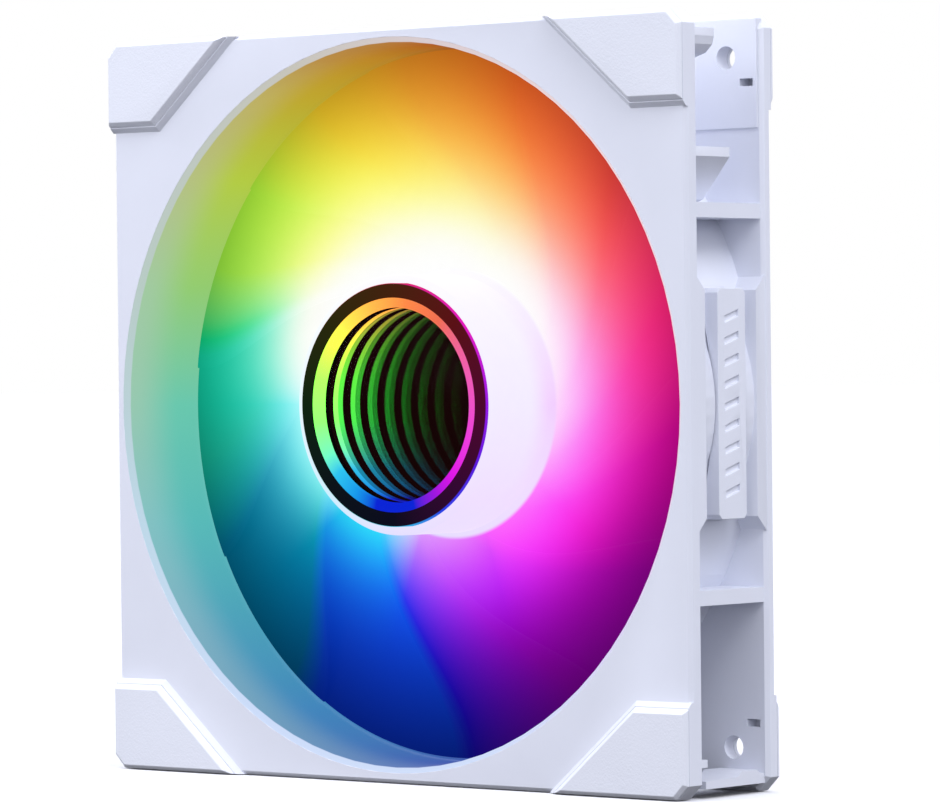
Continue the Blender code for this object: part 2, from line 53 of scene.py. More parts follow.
# Sizes shared with the CAD model: the frame and the impeller
DUCT_R, MOUTH_R, FRAME_DEPTH = 67.2, 68.2, 25.0
HUB_R, HUB_FRONT, HUB_REAR = 24.2, 1.3, 20.0
HUB_WALL, FLOOR_FRONT, FLOOR_BACK = 1.6, 5.4, 7.6      # the cup's wall and the floor inside it
FILLET_R, FILLET_FRONT = 25.3, 18.2
BLADES, BLADE_TIP_R = 11, 66.6
BLADE_TURN = 2 * math.pi / BLADES
ROOT_THICK, TIP_THICK, EDGE_SHARE = 0.9, 0.5, 0.3
BLADE_REAR, LEAD_ROOT, LEAD_TIP, LEAD_RISE = 19.7, 18.5, 19.2, 2.3
OVERLAP_ROOT, OVERLAP_TIP, OVERLAP_RISE = math.radians(6.5), math.radians(1.0), math.radians(6.0)
BLADE_PHASE = math.radians(-88.0)
BLADE_SWEEP, SWEEP_SPAN = math.radians(36.0), 35.0

# The infinity mirror, from its face to the back of the rear mirror
RIM_R, WINDOW_R, TUNNEL_R, MIRROR_R, SLEEVE_R = 22.6, 19.9, 18.1, 21.6, 21.8
FACE, LIP_BACK = 0.85, 1.05
PANE_FRONT, PANE_BACK = 1.1, 1.3
GLOW_FRONT, GLOW_BACK = 1.35, 2.6
MIRROR_FRONT, MIRROR_BACK = 3.75, 5.1
STACK_GAP = 0.1            # open joint in front of and behind the spacer

# Finish of the visible pieces
ROUND = 176                # facets of the turned pieces, a multiple of the blade count
ACROSS, ALONG = 30, 26     # facets of a blade, from root to tip and from edge to edge
PARTING = 0.14             # open joint behind a front pad, which the soft rubber closes
SOFT_ANGLE = 28.0          # edges sharper than this are softened
MOULDED_EDGE, RUBBER_EDGE = 0.12, 0.14

# Light of the LED ring as it soaks into the blades: (degrees, share of red, green and blue), with
# the angle from +X towards +Z. Far light runs along the blades, so its angle is taken back along
# the sweep and a hue keeps to its blade; near light is what each LED throws just past the hub. The
# blades take up light like film: twice the light is less than twice as bright.
FAR_HUES = [
    (0.0, (0.245, 0.0, 0.092)), (25.0, (0.492, 0.006, 0.059)), (50.0, (0.48, 0.026, 0.017)),
    (75.0, (0.712, 0.082, 0.01)), (100.0, (0.793, 0.223, 0.014)), (120.0, (0.872, 0.471, 0.016)),
    (140.0, (0.343, 0.89, 0.034)), (156.0, (0.235, 0.724, 0.036)), (168.0, (0.0, 0.512, 0.126)),
    (172.0, (0.002, 0.467, 0.253)), (190.0, (0.004, 0.262, 0.171)), (205.0, (0.0, 0.085, 0.163)),
    (232.0, (0.0, 0.043, 0.111)), (238.0, (0.001, 0.013, 0.234)), (270.0, (0.001, 0.012, 0.201)),
    (274.0, (0.004, 0.001, 0.173)), (300.0, (0.071, 0.0, 0.109)), (330.0, (0.092, 0.0, 0.098)),
    (360.0, (0.245, 0.0, 0.092)),
]
NEAR_HUES = [
    (0.0, (0.001, 0.011, 0.083)), (36.0, (0.995, 0.011, 0.068)), (72.0, (0.996, 0.0, 0.057)),
    (108.0, (0.996, 0.001, 0.08)), (144.0, (0.996, 0.996, 0.163)), (180.0, (0.087, 0.405, 0.363)),
    (216.0, (0.001, 0.067, 0.009)), (252.0, (0.0, 0.006, 0.154)), (288.0, (0.0, 0.002, 0.146)),
    (324.0, (0.12, 0.003, 0.071)), (360.0, (0.001, 0.011, 0.083)),
]
FAR_LIGHT, FAR_FALL = 20.0, 14.04          # strength at the hub, falling by e over 14 mm
NEAR_LIGHT, NEAR_FALL, NEAR_EDGE = 74.0, 6.57, 1.195
LIT_R = 24.0               # where the fall starts
BRIGHTEST = 0.96
GLOW_DEPTH, GLOW_SLANT = 18.0, -0.84       # the painted glow keeps one colour along the camera's line of sight

# The cup is so close to the LEDs that it glows almost white: its painted glow in front and at its
# foot
BROW_HUES = [
    (0.0, (0.88, 0.83, 1.0)), (60.0, (0.95, 0.93, 1.0)), (120.0, (0.95, 0.95, 1.0)),
    (180.0, (0.80, 0.92, 1.0)), (225.0, (0.62, 0.84, 0.97)), (270.0, (0.78, 0.74, 0.99)),
    (315.0, (0.86, 0.74, 0.99)), (360.0, (0.88, 0.83, 1.0)),
]
FOOT_HUES = [
    (0.0, (0.88, 0.60, 0.98)), (35.0, (0.90, 0.80, 0.99)), (70.0, (0.95, 0.93, 1.0)),
    (120.0, (0.95, 0.95, 1.0)), (180.0, (0.80, 0.92, 1.0)), (225.0, (0.62, 0.84, 0.97)),
    (270.0, (0.80, 0.72, 0.99)), (315.0, (0.86, 0.72, 0.99)), (345.0, (0.87, 0.66, 0.99)),
    (360.0, (0.88, 0.60, 0.98)),
]
BROW_DEPTH, FOOT_DEPTH = 11.0, 19.0
PALE_R, LIT_BLADE_R = 24.7, 25.7           # from the glow of the cup to the light of the blades
PALE_DEPTH, LIT_BLADE_DEPTH = 16.6, 17.4

# The same light painted on the duct wall as a glow, by true angle, at the front edge and next to
# the blades
WALL_FRONT_HUES = [
    (0.0, (0.62, 0.10, 0.36)), (45.0, (0.50, 0.14, 0.14)), (90.0, (0.35, 0.13, 0.030)),
    (105.0, (0.42, 0.21, 0.050)), (120.0, (0.48, 0.39, 0.11)), (140.0, (0.44, 0.50, 0.20)),
    (160.0, (0.34, 0.56, 0.33)), (180.0, (0.29, 0.55, 0.41)), (200.0, (0.20, 0.50, 0.51)),
    (220.0, (0.18, 0.40, 0.50)), (240.0, (0.14, 0.32, 0.47)), (270.0, (0.10, 0.18, 0.42)),
    (315.0, (0.25, 0.08, 0.36)), (360.0, (0.62, 0.10, 0.36)),
]
WALL_REAR_HUES = [
    (0.0, (0.50, 0.01, 0.20)), (45.0, (0.50, 0.05, 0.04)), (90.0, (0.35, 0.080, 0.010)),
    (105.0, (0.45, 0.22, 0.016)), (120.0, (0.48, 0.36, 0.023)), (140.0, (0.43, 0.57, 0.050)),
    (160.0, (0.28, 0.58, 0.15)), (180.0, (0.13, 0.55, 0.40)), (200.0, (0.085, 0.47, 0.46)),
    (220.0, (0.060, 0.33, 0.47)), (240.0, (0.040, 0.22, 0.47)), (270.0, (0.042, 0.095, 0.39)),
    (315.0, (0.20, 0.01, 0.30)), (360.0, (0.50, 0.01, 0.20)),
]
# Painted light on the chamfer round the mouth and the front millimetre of the duct wall
MOUTH_HUES = [
    (0.0, (0.72, 0.62, 0.70)), (40.0, (0.77, 0.62, 0.67)), (80.0, (0.68, 0.58, 0.62)),
    (110.0, (0.56, 0.54, 0.48)), (160.0, (0.46, 0.58, 0.54)), (200.0, (0.47, 0.64, 0.76)),
    (240.0, (0.56, 0.67, 0.90)), (290.0, (0.60, 0.69, 0.90)), (325.0, (0.66, 0.62, 0.84)),
    (360.0, (0.72, 0.62, 0.70)),
]

# The glowing ring inside the infinity mirror, by true angle
RING_HUES = [
    (0.0, (0.93, 0.09, 0.62)), (30.0, (0.94, 0.13, 0.37)), (55.0, (0.95, 0.17, 0.09)),
    (80.0, (1.10, 0.27, 0.07)), (105.0, (1.50, 0.54, 0.08)), (128.0, (1.60, 0.95, 0.09)),
    (145.0, (1.05, 1.50, 0.10)), (165.0, (0.54, 2.20, 0.15)), (190.0, (0.36, 2.20, 0.22)),
    (207.0, (0.22, 1.20, 0.54)), (222.0, (0.03, 0.60, 0.95)), (240.0, (0.01, 0.34, 0.90)),
    (256.0, (0.004, 0.02, 0.72)), (284.0, (0.004, 0.02, 0.72)), (300.0, (0.35, 0.01, 0.80)),
    (318.0, (0.80, 0.01, 0.85)), (340.0, (0.92, 0.05, 0.78)), (360.0, (0.93, 0.09, 0.62)),
]

# Its black trim: the painted glow of the LEDs on its face, and the painted light of the thin lit
# line round it
TRIM_HUES = [
    (0.0, (0.070, 0.001, 0.024)), (45.0, (0.100, 0.004, 0.006)), (90.0, (0.056, 0.014, 0.003)),
    (135.0, (0.020, 0.020, 0.002)), (180.0, (0.003, 0.016, 0.004)), (225.0, (0.002, 0.005, 0.008)),
    (270.0, (0.002, 0.002, 0.011)), (315.0, (0.032, 0.001, 0.030)), (360.0, (0.070, 0.001, 0.024)),
]
RIM_HUES = [
    (0.0, (0.30, 0.01, 0.80)), (40.0, (0.79, 0.01, 0.52)), (90.0, (0.72, 0.02, 0.12)),
    (120.0, (0.58, 0.06, 0.02)), (150.0, (0.72, 0.35, 0.02)), (180.0, (0.40, 0.58, 0.05)),
    (210.0, (0.05, 0.46, 0.08)), (245.0, (0.02, 0.58, 0.55)), (270.0, (0.05, 0.55, 0.79)),
    (300.0, (0.02, 0.05, 0.79)), (330.0, (0.10, 0.01, 0.72)), (360.0, (0.30, 0.01, 0.80)),
]
COAT_TINT = (0.27, 0.505, 0.48)            # each pass through the tunnel dims red the most
TUNNEL_GLOW = (0.006, 0.0008, 0.0010)      # the faint light at the tunnel's far end

# White plastic and rubber, and the studio they stand in
FRAME_WHITE, RUBBER_WHITE = (0.80, 0.82, 0.90), (0.84, 0.86, 0.93)
FRAME_GRAIN, FRAME_RELIEF = 0.16, 0.006
AMBIENT = (1.24, 1.255, 1.385)
ZENITH_SHARE = 0.72        # strength of the sky overhead against the horizon
FLOOR_BOUNCE = (0.10, 0.10, 0.10)
COOL = (0.90, 0.93, 1.0)
SOFT_BOXES = [             # name, watts, diameter and place in metres
    ("top_box", 0.8, 1.6, (0.1, -0.35, 1.5)),
    ("near_box", 1.55, 0.4, (-0.28, -0.45, 0.42)),
    ("right_box", 10.5, 0.9, (1.2, -0.4, 1.25)),
]

# A long lens 957.7 mm from the front face, 40 degrees round to the right
CAMERA_PLACE = (628.026, -723.132, 8.729)
CAMERA_RIGHT = (0.7651676, 0.64374936, -0.01026191)
CAMERA_FORWARD = (-0.64382851, 0.76511284, -0.00933738)
CAMERA_UP = (0.00184059, 0.01375157, 0.99990375)
SENSOR, LENS = 36.0, 198.15


# ---------------------------------------------------------------------------------- shaders

class Shader:
    """A material whose inputs are formulas on the position in millimetres."""

    def __init__(self, name):
        self.material = bpy.data.materials.new(name)
        self.material.use_nodes = True
        self.tree = self.material.node_tree
        self.surface = self.tree.nodes["Principled BSDF"]
        place = self.tree.nodes.new("ShaderNodeTexCoord")
        scale = self.tree.nodes.new("ShaderNodeVectorMath")
        scale.operation = "SCALE"
        scale.inputs["Scale"].default_value = 1 / MM
        self.tree.links.new(place.outputs["Object"], scale.inputs[0])
        self.position = scale.outputs[0]
        split = self.tree.nodes.new("ShaderNodeSeparateXYZ")
        self.tree.links.new(self.position, split.inputs[0])
        self.x, self.y, self.z = split.outputs

    def put(self, value, socket):
        """Sets an input to a number, a colour or another node's output."""
        if isinstance(value, bpy.types.NodeSocket):
            self.tree.links.new(value, socket)
        elif isinstance(value, tuple) and len(socket.default_value) == 4:
            socket.default_value = (*value, 1.0)
        else:
            socket.default_value = value

    def math(self, operation, *values, clamp=False):
        node = self.tree.nodes.new("ShaderNodeMath")
        node.operation = operation
        node.use_clamp = clamp
        for value, socket in zip(values, node.inputs):
            self.put(value, socket)
        return node.outputs[0]

    def step(self, value, low, high):
        """0 below low, 1 above high, smooth between them; falls instead if low is above high."""
        node = self.tree.nodes.new("ShaderNodeMapRange")
        node.interpolation_type = "SMOOTHSTEP"
        start, end = (0.0, 1.0) if low < high else (1.0, 0.0)
        settings = (value, min(low, high), max(low, high), start, end)
        for setting, socket in zip(settings, node.inputs):
            self.put(setting, socket)
        return node.outputs[0]

    def depth_step(self, low, high):
        """The same between two depths behind the front face of the frame."""
        return self.step(self.y, FRONT_Y + low, FRONT_Y + high)

    def mix(self, factor, first, second, blend="MIX", clamp=False):
        node = self.tree.nodes.new("ShaderNodeMix")
        node.data_type = "RGBA"
        node.blend_type = blend
        node.clamp_result = clamp
        for value, index in ((factor, 0), (first, 6), (second, 7)):
            self.put(value, node.inputs[index])
        return node.outputs[2]

    def wheel(self, turn, stops):
        """Colours round a circle: stops are (degrees, colour), and turn runs from 0 to 1."""
        node = self.tree.nodes.new("ShaderNodeValToRGB")
        ramp = node.color_ramp
        while len(ramp.elements) < len(stops):
            ramp.elements.new(1.0)
        for element, (degrees, colour) in zip(ramp.elements, stops):
            element.position = degrees / 360.0
            element.color = (*colour, 1.0)
        self.put(turn, node.inputs[0])
        return node.outputs[0]

    def noise(self, size, detail=2.0, roughness=0.5):
        """Noise with features about size millimetres across."""
        node = self.tree.nodes.new("ShaderNodeTexNoise")
        for name, value in (("Vector", self.position), ("Scale", 1 / size), ("Detail", detail),
                            ("Roughness", roughness)):
            self.put(value, node.inputs[name])
        return node.outputs["Fac"]

    def spread(self, value, low, high):
        """Takes a 0 to 1 value to the range low to high."""
        node = self.tree.nodes.new("ShaderNodeMapRange")
        for setting, socket in zip((value, 0.0, 1.0, low, high), node.inputs):
            self.put(setting, socket)
        return node.outputs[0]

    def film(self, light):
        """Brightness of each channel for the light that falls on it, levelling off as it grows."""
        parts = self.tree.nodes.new("ShaderNodeSeparateColor")
        whole = self.tree.nodes.new("ShaderNodeCombineColor")
        self.put(light, parts.inputs[0])
        for part, socket in zip(parts.outputs, whole.inputs):
            left = self.math("POWER", 1 / math.e, part)
            self.put(self.math("MULTIPLY", self.math("SUBTRACT", 1.0, left), BRIGHTEST), socket)
        return whole.outputs[0]

    def bump(self, height, distance, strength=1.0):
        """Adds relief: distance is the height of the relief in millimetres."""
        node = self.tree.nodes.new("ShaderNodeBump")
        self.put(strength, node.inputs["Strength"])
        self.put(distance * MM, node.inputs["Distance"])
        self.put(height, node.inputs["Height"])
        if self.surface.inputs["Normal"].is_linked:
            self.put(self.surface.inputs["Normal"].links[0].from_socket, node.inputs["Normal"])
        self.put(node.outputs[0], self.surface.inputs["Normal"])

    def set(self, **values):
        for name, value in values.items():
            self.put(value, self.surface.inputs[name.replace("_", " ")])

    def radius(self):
        squares = [self.math("MULTIPLY", axis, axis) for axis in (self.x, self.z)]
        return self.math("SQRT", self.math("ADD", *squares))

    def turn(self, offset=0.0):
        """Angle about the fan's axis plus an offset in radians, as a fraction of a turn."""
        angle = self.math("ADD", self.math("ARCTAN2", self.z, self.x), offset)
        return self.math("FRACT", self.math("ADD", self.math("DIVIDE", angle, 2 * math.pi), 2.0))


def plastic(name, colour, grain, relief, roughness=(0.42, 0.56), mottle=0.03):
    """Moulded plastic or rubber: fine spark-eroded grain with slight wear and colour drift."""
    shader = Shader(name)
    drift = shader.noise(14.0, 3.0)
    pale = tuple(min(1.0, channel * (1 + mottle)) for channel in colour)
    dark = tuple(channel * (1 - mottle) for channel in colour)
    shader.set(Base_Color=shader.mix(drift, dark, pale))
    shader.set(Roughness=shader.spread(shader.noise(3.0, 4.0), *roughness))
    shader.bump(shader.noise(grain, 2.0, 0.6), relief)
    shader.set(Specular_IOR_Level=0.25)
    return shader


def slanted(shader):
    """Moves the shader's x along the camera's line of sight, so the painted glow keeps one colour
    along it.
    """
    behind = shader.math("SUBTRACT", FRONT_Y + GLOW_DEPTH, shader.y)
    shader.x = shader.math("ADD", shader.x, shader.math("MULTIPLY", behind, GLOW_SLANT))


def blade_light(shader):
    """Light in the milky plastic: each blade carries its LED's hue and fades outwards."""
    radius = shader.radius()
    run = shader.math("DIVIDE", shader.math("SUBTRACT", BLADE_TIP_R, radius), SWEEP_SPAN)
    sweep = shader.math("MULTIPLY", shader.math("MULTIPLY", run, run), BLADE_SWEEP)
    away = shader.math("MAXIMUM", shader.math("SUBTRACT", radius, LIT_R), 0.0)
    far = shader.math("POWER", math.e, shader.math("DIVIDE", away, -FAR_FALL))
    reach = shader.math("POWER", shader.math("DIVIDE", away, NEAR_FALL), NEAR_EDGE)
    near = shader.math("POWER", 1 / math.e, reach)
    lights = []
    for turn, hues, level, strength in ((shader.turn(sweep), FAR_HUES, far, FAR_LIGHT),
                                        (shader.turn(), NEAR_HUES, near, NEAR_LIGHT)):
        level = shader.math("MULTIPLY", level, strength)
        lights.append(shader.mix(1.0, shader.wheel(turn, hues), level, "MULTIPLY"))
    return shader.film(shader.mix(1.0, *lights, "ADD"))


def milky_glow(name):
    """The impeller's plastic, near black under a painted glow: pale on the hub, then the coloured
    light of the blades.
    """
    shader = Shader(name)
    turn = shader.turn()
    pale = shader.mix(shader.depth_step(BROW_DEPTH, FOOT_DEPTH), shader.wheel(turn, BROW_HUES),
                      shader.wheel(turn, FOOT_HUES))
    ahead = shader.depth_step(LIT_BLADE_DEPTH, PALE_DEPTH)
    hub = shader.step(shader.radius(), HUB_R + 1.4, HUB_R + 1.2)
    slanted(shader)
    core = shader.step(shader.radius(), LIT_BLADE_R, PALE_R)
    inside = shader.math("MAXIMUM", core, shader.math("MULTIPLY", ahead, hub))
    glow = shader.mix(inside, blade_light(shader), pale)
    flow = shader.spread(shader.noise(2.2, 3.0), 0.985, 1.015)
    # Near-black surface colour, with the LEDs' light on the hub and blades painted as a glow
    shader.set(Base_Color=shader.mix(1.0, glow, (0.03, 0.03, 0.03), "MULTIPLY"),
               Emission_Color=shader.mix(1.0, glow, flow, "MULTIPLY", clamp=True),
               Emission_Strength=1.0, Roughness=0.4, Specular_IOR_Level=0.02)
    return shader.material


def frame_plastic():
    """White plastic; on the wall of the duct and the chamfer of the mouth it turns near black, a
    painted shade, under a painted glow of the blades' light.
    """
    shader = plastic("white_frame", FRAME_WHITE, FRAME_GRAIN, FRAME_RELIEF)
    radius = shader.radius()
    wall = shader.math("MULTIPLY", shader.step(radius, DUCT_R + 0.6, DUCT_R + 0.3),
                       shader.step(radius, 60.0, 62.0))
    ends = shader.depth_step(FRAME_DEPTH - 0.1, FRAME_DEPTH - 1.0)
    wall = shader.math("MULTIPLY", wall, ends)
    mouth = shader.depth_step(1.2, 0.9)
    deep = shader.depth_step(1.0, 15.0)
    turn = shader.turn()
    painted_glow = shader.mix(deep, shader.wheel(turn, WALL_FRONT_HUES), shader.wheel(turn, WALL_REAR_HUES))
    painted_glow = shader.mix(mouth, painted_glow, shader.wheel(turn, MOUTH_HUES))
    chamfer = shader.math("MULTIPLY", shader.step(radius, MOUTH_R - 0.02, MOUTH_R - 0.12),
                          shader.step(radius, DUCT_R - 1.0, DUCT_R - 0.5))
    wall = shader.math("MAXIMUM", wall, shader.math("MULTIPLY", mouth, chamfer))
    plain = shader.surface.inputs["Base Color"].links[0].from_socket
    # Near black with a painted glow on the duct wall and mouth chamfer: painted shade and painted
    # light of the blades
    shader.set(Base_Color=shader.mix(wall, plain, (0.02, 0.02, 0.02)),
               Emission_Color=shader.mix(wall, (0.0, 0.0, 0.0), painted_glow), Emission_Strength=1.0)
    return shader.material


def ring_light():
    """The ring between the two mirrors, lit all round in the hues of the LEDs."""
    shader = Shader("glowing_ring")
    shader.set(Base_Color=(0.02, 0.02, 0.02), Roughness=0.5, Specular_IOR_Level=0.0,
               Emission_Color=shader.wheel(shader.turn(), RING_HUES), Emission_Strength=1.0)
    return shader.material


def trim_black():
    """Black ring with a painted glow of the LEDs on its face and a painted lit line round its edge.
    """
    shader = Shader("black_trim")
    edge = shader.step(shader.radius(), RIM_R - 0.16, RIM_R - 0.06)
    turn = shader.turn()
    painted_glow = shader.mix(edge, shader.wheel(turn, TRIM_HUES), shader.wheel(turn, RIM_HUES))
    shader.set(Base_Color=(0.002, 0.002, 0.002), Specular_IOR_Level=0.0, Emission_Color=painted_glow,
               Emission_Strength=1.0, Roughness=shader.spread(shader.noise(1.5), 0.35, 0.5))
    return shader.material


def spacer_black():
    """The dark wall between the glowing ring and the rear mirror, with a faint painted glow."""
    shader = plastic("black_spacer", (0.004, 0.004, 0.005), 0.2, 0.004, (0.6, 0.75))
    shader.set(Specular_IOR_Level=0.0, Emission_Color=(0.002, 0.0012, 0.0012),
               Emission_Strength=1.0)
    return shader.material


def clear_coat():
    """The front of the pane: clear, with a faint reflection at a low angle."""
    shader = Shader("pane_front")
    tree = shader.tree
    clear, gloss, mix, gleam = (tree.nodes.new(kind) for kind in (
        "ShaderNodeBsdfTransparent", "ShaderNodeBsdfGlossy", "ShaderNodeMixShader",
        "ShaderNodeFresnel"))
    shader.put((0.93, 0.93, 0.93), clear.inputs["Color"])
    shader.put(0.03, gloss.inputs["Roughness"])
    shader.put(1.08, gleam.inputs["IOR"])
    for source, target in ((gleam.outputs[0], mix.inputs[0]), (clear.outputs[0], mix.inputs[1]),
                           (gloss.outputs[0], mix.inputs[2]),
                           (mix.outputs[0], tree.nodes["Material Output"].inputs["Surface"])):
        tree.links.new(source, target)
    return shader.material


def one_way_coat():
    """The back of the pane: open to the eye from outside, and a tinted mirror from inside."""
    shader = Shader("pane_back")
    tree = shader.tree
    clear, mirror, mix, side = (tree.nodes.new(kind) for kind in (
        "ShaderNodeBsdfTransparent", "ShaderNodeBsdfGlossy", "ShaderNodeMixShader",
        "ShaderNodeNewGeometry"))
    shader.put((1.0, 1.0, 1.0), clear.inputs["Color"])
    shader.put(COAT_TINT, mirror.inputs["Color"])
    shader.put(0.0, mirror.inputs["Roughness"])
    for source, target in ((side.outputs["Backfacing"], mix.inputs[0]),
                           (mirror.outputs[0], mix.inputs[1]), (clear.outputs[0], mix.inputs[2]),
                           (mix.outputs[0], tree.nodes["Material Output"].inputs["Surface"])):
        tree.links.new(source, target)
    shader.material.use_backface_culling = True
    return shader.material


def silvered():
    """The rear mirror, with a faint painted glow for the light at the tunnel's far end."""
    shader = Shader("silvered_mirror")
    shader.set(Base_Color=(0.93, 0.93, 0.93), Metallic=1.0, Roughness=0.0,
               Emission_Color=TUNNEL_GLOW, Emission_Strength=1.0)
    return shader.material


def metal(name, colour, roughness, brushed):
    """Turned or stamped metal: fine circular marks round the axis and uneven polish."""
    shader = Shader(name)
    rings = shader.math("SINE", shader.math("MULTIPLY", shader.radius(), 2 * math.pi / brushed))
    patches = shader.noise(2.0, 4.0)
    dull = tuple(channel * 0.8 for channel in colour)
    shader.set(Base_Color=shader.mix(patches, dull, colour), Metallic=1.0,
               Roughness=shader.spread(patches, roughness - 0.08, roughness + 0.1))
    shader.bump(rings, 0.004, 0.5)
    return shader.material


def windings():
    """Enamelled copper wire laid in turns round each pole."""
    shader = Shader("enamelled_wire")
    wire = 0.35
    lay = shader.math("SINE", shader.math("MULTIPLY", shader.radius(), 2 * math.pi / wire))
    copper = shader.mix(shader.spread(lay, 0.4, 0.7), (0.35, 0.10, 0.03), (0.85, 0.36, 0.15))
    shader.set(Base_Color=copper, Metallic=0.9,
               Roughness=shader.spread(shader.noise(0.8), 0.25, 0.4))
    shader.bump(lay, 0.08)
    return shader.material


def circuit_board():
    """Black solder mask over copper tracks, which show as slight ridges."""
    shader = Shader("solder_mask")
    waves = shader.math("SINE", shader.math("MULTIPLY", shader.radius(), 3.0))
    tracks = shader.step(waves, 0.1, 0.3)
    shader.set(Base_Color=shader.mix(tracks, (0.012, 0.014, 0.016), (0.03, 0.034, 0.036)),
               Roughness=shader.spread(shader.noise(1.0), 0.3, 0.45))
    shader.bump(tracks, 0.03)
    return shader.material


def lamp_resin():
    """The clear resin of the LEDs, each lit in the hue of the ring in front of it."""
    shader = Shader("lamp_resin")
    lens = shader.noise(0.8, 1.0)
    shader.set(Base_Color=shader.mix(lens, (0.75, 0.74, 0.60), (0.90, 0.89, 0.78)), Roughness=0.25,
               Emission_Color=shader.wheel(shader.turn(), RING_HUES), Emission_Strength=1.5)
    return shader.material


# ------------------------------------------------------------------------------------ shapes

def point(x, depth, z):
    return Vector((x * MM, (FRONT_Y + depth) * MM, z * MM))


def add_piece(name, bm, materials, body, slot, *replaced, smooth=35.0):
    """Turns a bmesh into a piece of the visual model that rides on a body."""
    bmesh.ops.recalc_face_normals(bm, faces=bm.faces)
    mesh = bpy.data.meshes.new(name)
    bm.to_mesh(mesh)
    bm.free()
    for material in materials:
        mesh.materials.append(material)
    mesh.shade_smooth()
    mesh.set_sharp_from_angle(angle=math.radians(smooth))
    piece = bpy.data.objects.new(name, mesh)
    bpy.context.scene.collection.objects.link(piece)
    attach(piece, body)
    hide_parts(*replaced)
    return piece


def rounded(profile, size=0.12, steps=3):
    """Rounds the corners of a closed profile of (radius, depth), leaving points on the axis."""
    result = []
    count = len(profile)
    for index, corner in enumerate(profile):
        corner = Vector(corner)
        before, after = Vector(profile[index - 1]), Vector(profile[(index + 1) % count])
        if corner.x == 0.0:
            result.append(tuple(corner))
            continue
        cut = min(size, (before - corner).length * 0.4, (after - corner).length * 0.4)
        start = corner + (before - corner).normalized() * cut
        end = corner + (after - corner).normalized() * cut
        for i in range(steps + 1):
            t = i / steps
            result.append(tuple(start * (1 - t) ** 2 + corner * (2 * t * (1 - t)) + end * t ** 2))
    return result


def spin(bm, profile, material_of=None):
    """Adds a closed profile of (radius, depth) turned about the fan's axis."""
    rings = []
    for radius, depth in profile:
        if radius == 0.0:
            rings.append([bm.verts.new(point(0.0, depth, 0.0))] * ROUND)
            continue
        angles = [2 * math.pi * i / ROUND for i in range(ROUND)]
        rings.append([bm.verts.new(point(radius * math.cos(a), depth, radius * math.sin(a)))
                      for a in angles])
    on_axis = profile[0][0] == 0.0
    pairs = list(zip(rings, rings[1:])) + ([] if on_axis else [(rings[-1], rings[0])])
    for index, (first, second) in enumerate(pairs):
        for i in range(ROUND):
            j = (i + 1) % ROUND
            corners = list(dict.fromkeys((first[i], first[j], second[j], second[i])))
            if len(corners) > 2:
                face = bm.faces.new(corners)
                face.material_index = material_of(index) if material_of else 0


def blade_angle(radius):
    return BLADE_PHASE - BLADE_SWEEP * ((BLADE_TIP_R - radius) / SWEEP_SPAN) ** 2


def blade_point(index, part, chord, side):
    """On a blade's skin: part runs from root to tip, chord from leading to trailing edge."""
    root = HUB_R - 1.0
    radius = root + (BLADE_TIP_R - root) * part
    middle = math.sin(math.pi * part)
    lead = LEAD_ROOT + (LEAD_TIP - LEAD_ROOT) * part - LEAD_RISE * middle
    overlap = OVERLAP_ROOT + (OVERLAP_TIP - OVERLAP_ROOT) * part + OVERLAP_RISE * middle
    angle = blade_angle(radius) + BLADE_TURN * index - (BLADE_TURN + overlap) * chord
    full = math.sqrt(max(0.0, 1.0 - abs(2.0 * chord - 1.0) ** 10))
    depth = lead + (BLADE_REAR - lead) * math.sin(chord * math.pi / 2) ** 0.9
    thick = ROOT_THICK + (TIP_THICK - ROOT_THICK) * part
    depth += side * thick / 2 * (EDGE_SHARE + (1.0 - EDGE_SHARE) * full)
    return point(radius * math.cos(angle), depth, radius * math.sin(angle))


def add_blade(bm, index):
    """One blade as a closed shell: a front and a rear skin joined round their border."""
    chords = [0.5 - 0.5 * math.cos(math.pi * j / ALONG) for j in range(ALONG + 1)]
    front, rear = [[[bm.verts.new(blade_point(index, i / ACROSS, chord, side)) for chord in chords]
                    for i in range(ACROSS + 1)] for side in (-1, 1)]
    for skin in (front, rear):
        for low, high in zip(skin, skin[1:]):
            for j in range(ALONG):
                bm.faces.new((low[j], low[j + 1], high[j + 1], high[j]))
    for i in range(ACROSS):
        for j in (0, ALONG):
            bm.faces.new((front[i][j], front[i + 1][j], rear[i + 1][j], rear[i][j]))
    for j in range(ALONG):
        for i in (0, ACROSS):
            bm.faces.new((front[i][j], front[i][j + 1], rear[i][j + 1], rear[i][j]))


def make_impeller():
    """Hub cup and blades, one moulding."""
    rim, cup = RIM_R + 0.2, HUB_R - HUB_WALL
    hub = [(0.0, FLOOR_BACK), (cup, FLOOR_BACK), (cup, HUB_REAR), (FILLET_R, HUB_REAR),
           (FILLET_R, FILLET_FRONT + 0.2), (FILLET_R - 0.4, FILLET_FRONT - 0.3),
           (HUB_R, FILLET_FRONT - 1.4), (HUB_R, HUB_FRONT + 1.0), (HUB_R - 0.3, HUB_FRONT + 0.35),
           (HUB_R - 0.8, HUB_FRONT), (rim, HUB_FRONT), (rim, FLOOR_FRONT), (0.0, FLOOR_FRONT)]
    bm = bmesh.new()
    spin(bm, rounded(hub))
    for index in range(BLADES):
        add_blade(bm, index)
    add_piece("impeller_lit", bm, [milky_glow("lit_impeller")], "rotor", "impeller", "impeller")


